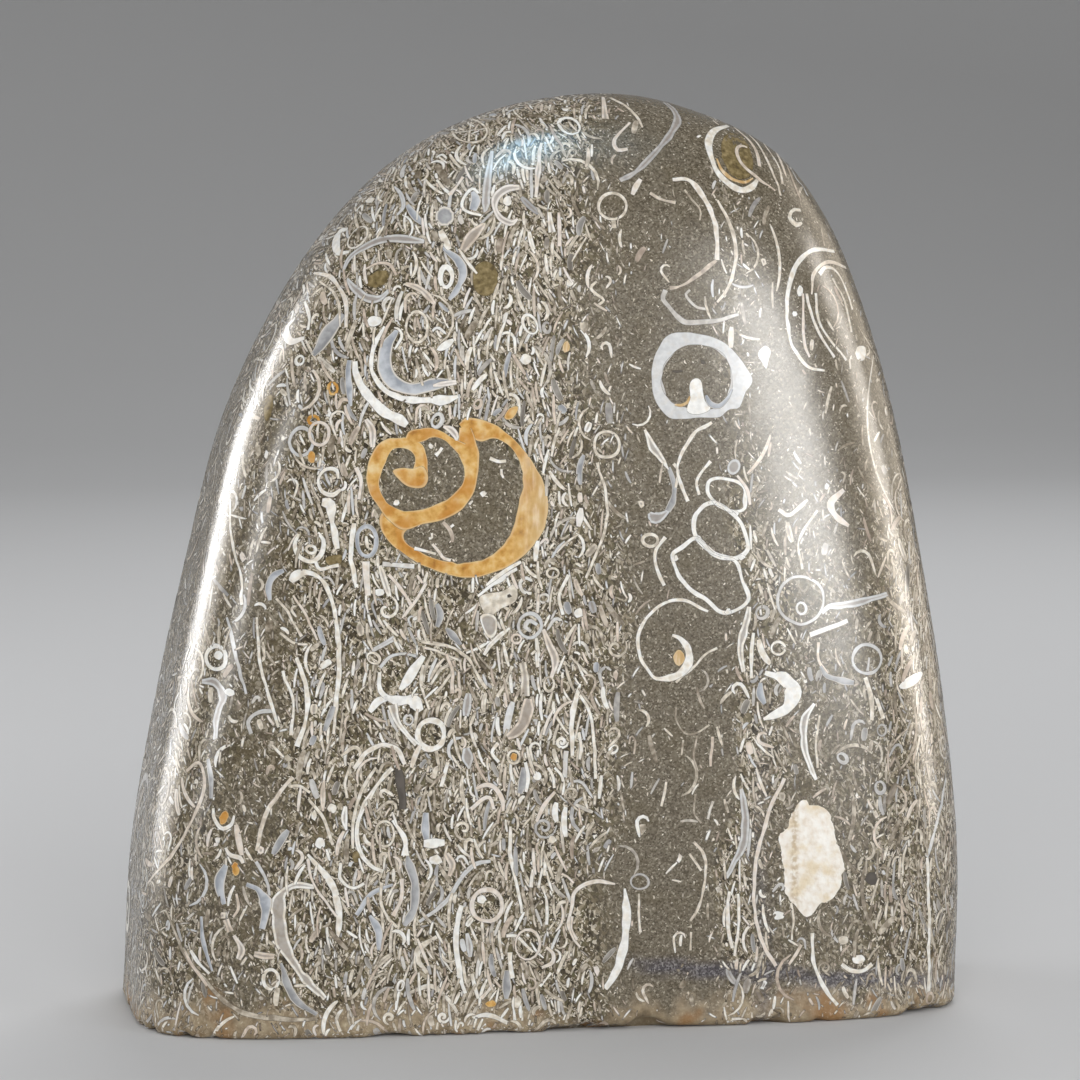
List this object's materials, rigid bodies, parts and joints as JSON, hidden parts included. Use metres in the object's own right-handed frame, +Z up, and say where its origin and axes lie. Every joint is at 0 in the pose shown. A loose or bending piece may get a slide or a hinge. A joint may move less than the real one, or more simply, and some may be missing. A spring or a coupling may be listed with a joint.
{
  "type": "polished fossil limestone freeform",
  "caption": "Domed, polished display stone of fossil shell limestone with a sawn flat base to stand on.",
  "frame": {"origin": "middle of the flat base, on the surface that the stone stands on", "axes": "+Z up through the dome, +X along the width, and the front face towards -Y"},
  "size_m": [0.1078, 0.049, 0.118],
  "materials": {
    "fossil_limestone": "gloss"
  },
  "bodies": {
    "root": {"polished_stone": "fossil_limestone"}
  },
  "joints": []
}
